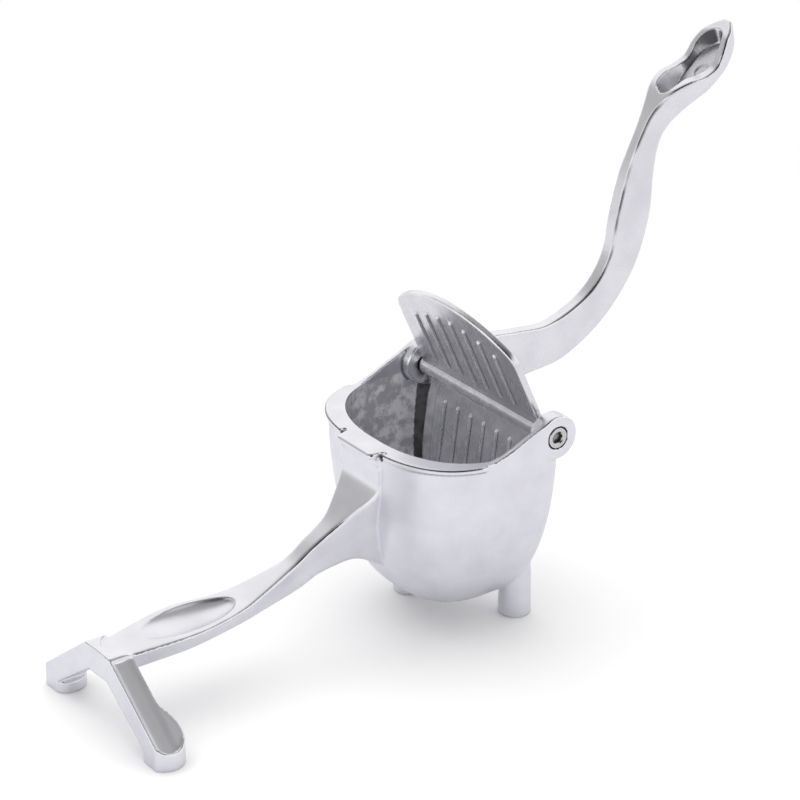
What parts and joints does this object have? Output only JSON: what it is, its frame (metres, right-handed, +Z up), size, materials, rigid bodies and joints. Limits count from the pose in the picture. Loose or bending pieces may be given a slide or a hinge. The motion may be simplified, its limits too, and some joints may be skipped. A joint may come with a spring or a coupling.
{
  "type": "hand lever fruit press",
  "caption": "Cast metal hand press for small fruit: a D-shaped cup on a forked stand, with a ribbed flap swung by a long curved lever.",
  "frame": {"origin": "bottom centre of the bounding box with the lever open, on the surface the press stands on", "axes": "+Z up, -Y towards the forked foot, +Y towards the open lever, +X to the right seen from the foot"},
  "size_m": [0.0922, 0.3012, 0.218],
  "materials": {
    "cast_aluminium": "cast aluminium, polished rim and edges, satin brushed sides",
    "plate_aluminium": "cast aluminium, as tumbled",
    "stainless_steel": "plain machined stainless"
  },
  "bodies": {
    "body": {"body_casting": "cast_aluminium", "back_plate": "plate_aluminium"},
    "lever": {"press_lever": "cast_aluminium", "pivot_screw_left": "stainless_steel", "pivot_screw_right": "stainless_steel"}
  },
  "joints": [
    {"name": "lever_pivot", "type": "hinge", "parent": "body", "child": "lever", "pos_m": [0, 0.02995, 0.0865], "axis": [1, 0, 0], "range_deg": [0, 136]}
  ]
}
